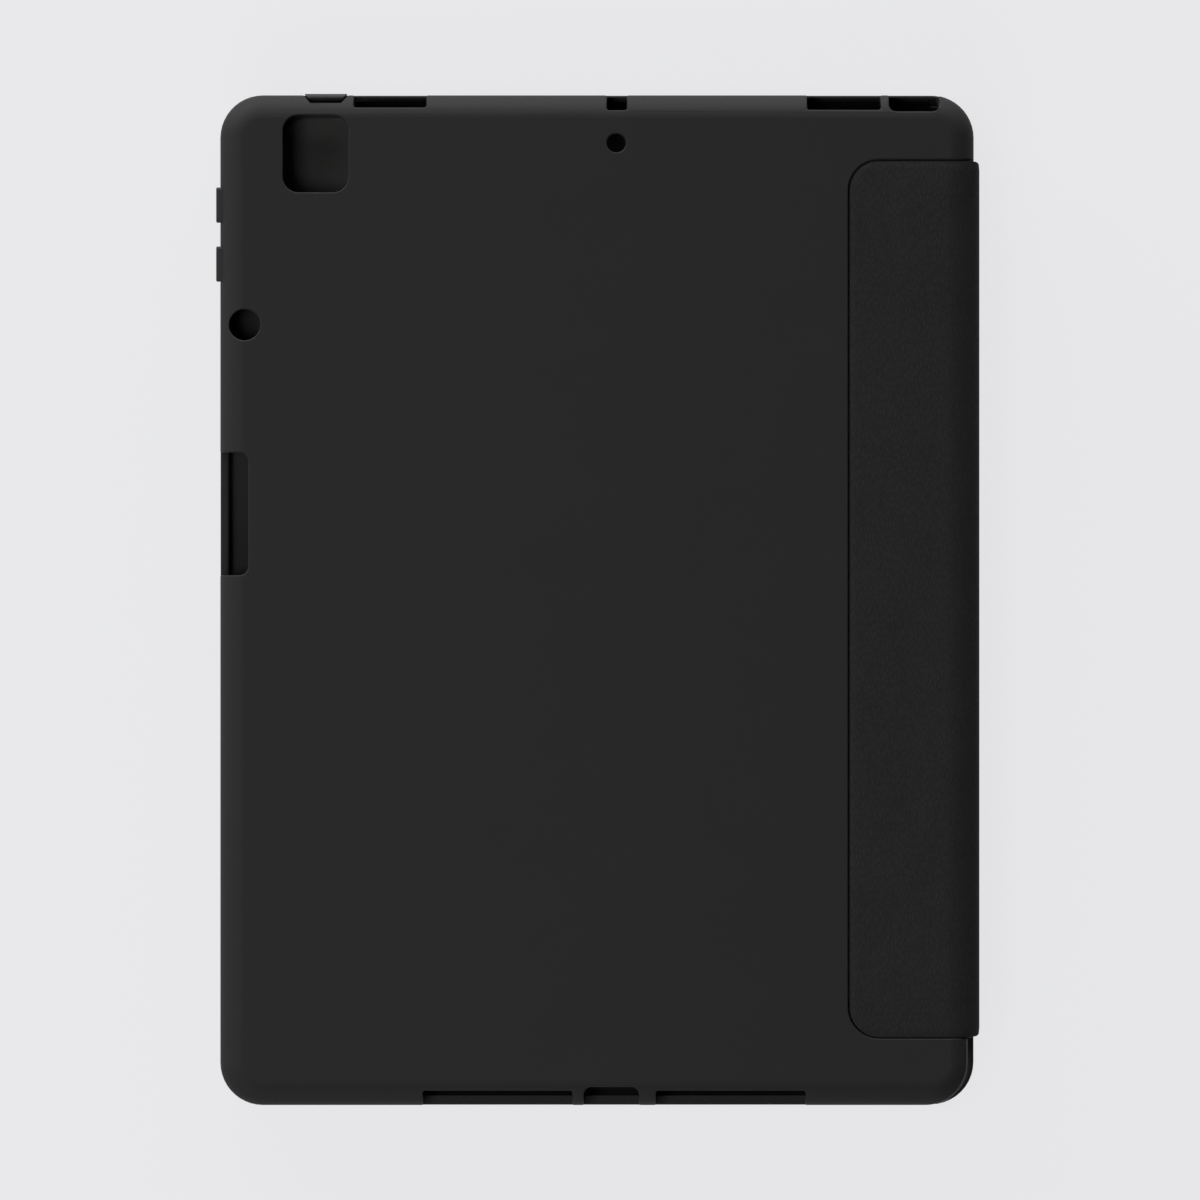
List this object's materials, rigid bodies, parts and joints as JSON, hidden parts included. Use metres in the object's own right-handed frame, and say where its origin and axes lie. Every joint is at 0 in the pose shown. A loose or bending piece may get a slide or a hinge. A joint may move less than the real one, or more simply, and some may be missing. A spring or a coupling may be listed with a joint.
{
  "type": "tablet keyboard case",
  "caption": "Closed folio case for a tablet: moulded tray with windows and stylus channel, leatherette flap and spine, and a cover that carries a thin keyboard.",
  "frame": {"origin": "under the middle of the closed case, on the surface that its front cover lies on", "axes": "+X towards the spine, +Y towards the tablet's top edge, +Z out of the tray's back"},
  "size_m": [0.1934, 0.2566, 0.0188],
  "materials": {
    "tray_rubber": "matt moulded thermoplastic rubber",
    "button_rubber": "matt moulded thermoplastic rubber",
    "leatherette": "fine grained artificial leather",
    "stiffener": "pressed board",
    "adhesive": "clear adhesive film",
    "magnet": "nickel plated",
    "keyboard_plastic": "fine matt moulded plastic",
    "key_plastic": "matt moulded plastic",
    "palm_fabric": "short napped microfibre",
    "support_metal": "plain sheet",
    "membrane_film": "printed film",
    "dome_rubber": "translucent silicone",
    "circuit_board": "solder mask",
    "cell_foil": "foil pouch",
    "socket_metal": "plated",
    "screw_steel": "blackened",
    "lens_plastic": "clear light pipe",
    "touchpad_plastic": "smooth satin",
    "switch_plastic": "moulded plastic"
  },
  "bodies": {
    "front_cover": {"cover_skin": "leatherette", "cover_board": "stiffener", "cover_magnets": "magnet", "keyboard_glue_sheet": "adhesive", "keyboard_base": "keyboard_plastic", "keyboard_deck": "keyboard_plastic", "palm_rest_pad": "palm_fabric", "key_support_plate": "support_metal", "contact_membrane": "membrane_film", "dome_sheet": "dome_rubber", "controller_board": "circuit_board", "battery_cell": "cell_foil", "charging_socket": "socket_metal", "flex_ribbon": "membrane_film", "indicator_lenses": "lens_plastic", "keyboard_screws": "screw_steel", "touchpad_switch": "switch_plastic", "power_switch_body": "switch_plastic"},
    "spine": {"spine_skin": "leatherette", "spine_board": "stiffener"},
    "tray": {"back_shell": "tray_rubber", "back_flap_skin": "leatherette", "back_flap_board": "stiffener", "flap_glue_film": "adhesive"},
    "volume_up_button": {"volume_up_button": "button_rubber"},
    "volume_down_button": {"volume_down_button": "button_rubber"},
    "power_button": {"power_button": "button_rubber"},
    "power_switch_slider": {"power_switch_slider": "switch_plastic"},
    "touchpad": {"touchpad": "touchpad_plastic"},
    "function_keys": {"function_keys": "key_plastic"},
    "number_keys": {"number_keys": "key_plastic"},
    "backspace_key": {"backspace_key": "key_plastic"},
    "tab_key": {"tab_key": "key_plastic"},
    "upper_letter_keys": {"upper_letter_keys": "key_plastic"},
    "slash_key": {"slash_key": "key_plastic"},
    "caps_lock_key": {"caps_lock_key": "key_plastic"},
    "home_letter_keys": {"home_letter_keys": "key_plastic"},
    "enter_key": {"enter_key": "key_plastic"},
    "left_shift_key": {"left_shift_key": "key_plastic"},
    "lower_letter_keys": {"lower_letter_keys": "key_plastic"},
    "right_shift_key": {"right_shift_key": "key_plastic"},
    "fn_key": {"fn_key": "key_plastic"},
    "control_key": {"control_key": "key_plastic"},
    "alt_key": {"alt_key": "key_plastic"},
    "left_super_key": {"left_super_key": "key_plastic"},
    "space_bar": {"space_bar": "key_plastic"},
    "right_super_key": {"right_super_key": "key_plastic"},
    "left_arrow_key": {"left_arrow_key": "key_plastic"},
    "up_arrow_key": {"up_arrow_key": "key_plastic"},
    "down_arrow_key": {"down_arrow_key": "key_plastic"},
    "right_arrow_key": {"right_arrow_key": "key_plastic"}
  },
  "joints": [
    {"name": "cover_fold", "type": "hinge", "parent": "front_cover", "child": "spine", "pos_m": [0.09617, 0, 0.00055], "axis": [0, 1, 0], "range_deg": [0, 90]},
    {"name": "flap_fold", "type": "hinge", "parent": "spine", "child": "tray", "pos_m": [0.09474, 0, 0.01682], "axis": [0, 1, 0], "range_deg": [0, 90]},
    {"name": "volume_up_press", "type": "slide", "parent": "tray", "child": "volume_up_button", "axis": [1, 0, 0], "range_m": [0, 0.0005], "stiffness_N_per_m": 1000, "springref_m": -0.0005},
    {"name": "volume_down_press", "type": "slide", "parent": "tray", "child": "volume_down_button", "axis": [1, 0, 0], "range_m": [0, 0.0005], "stiffness_N_per_m": 1000, "springref_m": -0.0005},
    {"name": "power_press", "type": "slide", "parent": "tray", "child": "power_button", "axis": [0, -1, 0], "range_m": [0, 0.0003], "stiffness_N_per_m": 1000, "springref_m": -0.0005},
    {"name": "touchpad_press", "type": "slide", "parent": "front_cover", "child": "touchpad", "axis": [0, 0, -1], "range_m": [0, 0.00025], "stiffness_N_per_m": 2000, "springref_m": -0.0005},
    {"name": "power_switch_slide", "type": "slide", "parent": "front_cover", "child": "power_switch_slider", "axis": [1, 0, 0], "range_m": [0, 0.003]},
    {"name": "function_keys_press", "type": "slide", "parent": "front_cover", "child": "function_keys", "axis": [0, 0, -1], "range_m": [0, 0.0012], "stiffness_N_per_m": 300, "springref_m": -0.001, "deforming": ["dome_sheet"]},
    {"name": "number_keys_press", "type": "slide", "parent": "front_cover", "child": "number_keys", "axis": [0, 0, -1], "range_m": [0, 0.0012], "stiffness_N_per_m": 300, "springref_m": -0.001, "deforming": ["dome_sheet"]},
    {"name": "backspace_key_press", "type": "slide", "parent": "front_cover", "child": "backspace_key", "axis": [0, 0, -1], "range_m": [0, 0.0012], "stiffness_N_per_m": 300, "springref_m": -0.001, "deforming": ["dome_sheet"]},
    {"name": "tab_key_press", "type": "slide", "parent": "front_cover", "child": "tab_key", "axis": [0, 0, -1], "range_m": [0, 0.0012], "stiffness_N_per_m": 300, "springref_m": -0.001, "deforming": ["dome_sheet"]},
    {"name": "upper_letter_keys_press", "type": "slide", "parent": "front_cover", "child": "upper_letter_keys", "axis": [0, 0, -1], "range_m": [0, 0.0012], "stiffness_N_per_m": 300, "springref_m": -0.001, "deforming": ["dome_sheet"]},
    {"name": "slash_key_press", "type": "slide", "parent": "front_cover", "child": "slash_key", "axis": [0, 0, -1], "range_m": [0, 0.0012], "stiffness_N_per_m": 300, "springref_m": -0.001, "deforming": ["dome_sheet"]},
    {"name": "caps_lock_key_press", "type": "slide", "parent": "front_cover", "child": "caps_lock_key", "axis": [0, 0, -1], "range_m": [0, 0.0012], "stiffness_N_per_m": 300, "springref_m": -0.001, "deforming": ["dome_sheet"]},
    {"name": "home_letter_keys_press", "type": "slide", "parent": "front_cover", "child": "home_letter_keys", "axis": [0, 0, -1], "range_m": [0, 0.0012], "stiffness_N_per_m": 300, "springref_m": -0.001, "deforming": ["dome_sheet"]},
    {"name": "enter_key_press", "type": "slide", "parent": "front_cover", "child": "enter_key", "axis": [0, 0, -1], "range_m": [0, 0.0012], "stiffness_N_per_m": 300, "springref_m": -0.001, "deforming": ["dome_sheet"]},
    {"name": "left_shift_key_press", "type": "slide", "parent": "front_cover", "child": "left_shift_key", "axis": [0, 0, -1], "range_m": [0, 0.0012], "stiffness_N_per_m": 300, "springref_m": -0.001, "deforming": ["dome_sheet"]},
    {"name": "lower_letter_keys_press", "type": "slide", "parent": "front_cover", "child": "lower_letter_keys", "axis": [0, 0, -1], "range_m": [0, 0.0012], "stiffness_N_per_m": 300, "springref_m": -0.001, "deforming": ["dome_sheet"]},
    {"name": "right_shift_key_press", "type": "slide", "parent": "front_cover", "child": "right_shift_key", "axis": [0, 0, -1], "range_m": [0, 0.0012], "stiffness_N_per_m": 300, "springref_m": -0.001, "deforming": ["dome_sheet"]},
    {"name": "fn_key_press", "type": "slide", "parent": "front_cover", "child": "fn_key", "axis": [0, 0, -1], "range_m": [0, 0.0012], "stiffness_N_per_m": 300, "springref_m": -0.001, "deforming": ["dome_sheet"]},
    {"name": "control_key_press", "type": "slide", "parent": "front_cover", "child": "control_key", "axis": [0, 0, -1], "range_m": [0, 0.0012], "stiffness_N_per_m": 300, "springref_m": -0.001, "deforming": ["dome_sheet"]},
    {"name": "alt_key_press", "type": "slide", "parent": "front_cover", "child": "alt_key", "axis": [0, 0, -1], "range_m": [0, 0.0012], "stiffness_N_per_m": 300, "springref_m": -0.001, "deforming": ["dome_sheet"]},
    {"name": "left_super_key_press", "type": "slide", "parent": "front_cover", "child": "left_super_key", "axis": [0, 0, -1], "range_m": [0, 0.0012], "stiffness_N_per_m": 300, "springref_m": -0.001, "deforming": ["dome_sheet"]},
    {"name": "space_bar_press", "type": "slide", "parent": "front_cover", "child": "space_bar", "axis": [0, 0, -1], "range_m": [0, 0.0012], "stiffness_N_per_m": 300, "springref_m": -0.001, "deforming": ["dome_sheet"]},
    {"name": "right_super_key_press", "type": "slide", "parent": "front_cover", "child": "right_super_key", "axis": [0, 0, -1], "range_m": [0, 0.0012], "stiffness_N_per_m": 300, "springref_m": -0.001, "deforming": ["dome_sheet"]},
    {"name": "left_arrow_key_press", "type": "slide", "parent": "front_cover", "child": "left_arrow_key", "axis": [0, 0, -1], "range_m": [0, 0.0012], "stiffness_N_per_m": 300, "springref_m": -0.001, "deforming": ["dome_sheet"]},
    {"name": "up_arrow_key_press", "type": "slide", "parent": "front_cover", "child": "up_arrow_key", "axis": [0, 0, -1], "range_m": [0, 0.0012], "stiffness_N_per_m": 300, "springref_m": -0.001, "deforming": ["dome_sheet"]},
    {"name": "down_arrow_key_press", "type": "slide", "parent": "front_cover", "child": "down_arrow_key", "axis": [0, 0, -1], "range_m": [0, 0.0012], "stiffness_N_per_m": 300, "springref_m": -0.001, "deforming": ["dome_sheet"]},
    {"name": "right_arrow_key_press", "type": "slide", "parent": "front_cover", "child": "right_arrow_key", "axis": [0, 0, -1], "range_m": [0, 0.0012], "stiffness_N_per_m": 300, "springref_m": -0.001, "deforming": ["dome_sheet"]}
  ]
}
